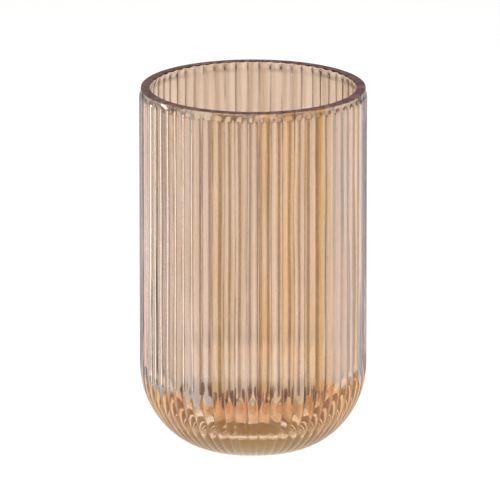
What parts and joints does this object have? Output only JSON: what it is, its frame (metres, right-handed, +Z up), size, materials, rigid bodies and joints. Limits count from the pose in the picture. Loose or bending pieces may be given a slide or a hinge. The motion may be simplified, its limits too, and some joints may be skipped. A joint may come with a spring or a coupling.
{
  "type": "ribbed glass vase",
  "caption": "Upright cylindrical glass vase with fine vertical ribs, a thick rounded amber heel and a thin dark lip; holds cut flowers or stands as a decorative vessel.",
  "frame": {"origin": "centre of the foot, on the surface that the vase stands on", "axes": "+Z up along the axis of the vase, towards its mouth"},
  "size_m": [0.123, 0.123, 0.2],
  "materials": {
    "amber_glass": "clear amber glass, fire polished, ribbed outside",
    "peach_glass": "clear peach glass with a faint pink and gold lustre, ribbed outside and smooth inside",
    "smoke_glass": "dark purple brown glass, fire polished"
  },
  "bodies": {
    "root": {"heavy_heel": "amber_glass", "ribbed_wall": "peach_glass", "lip_wrap": "smoke_glass"}
  },
  "joints": []
}
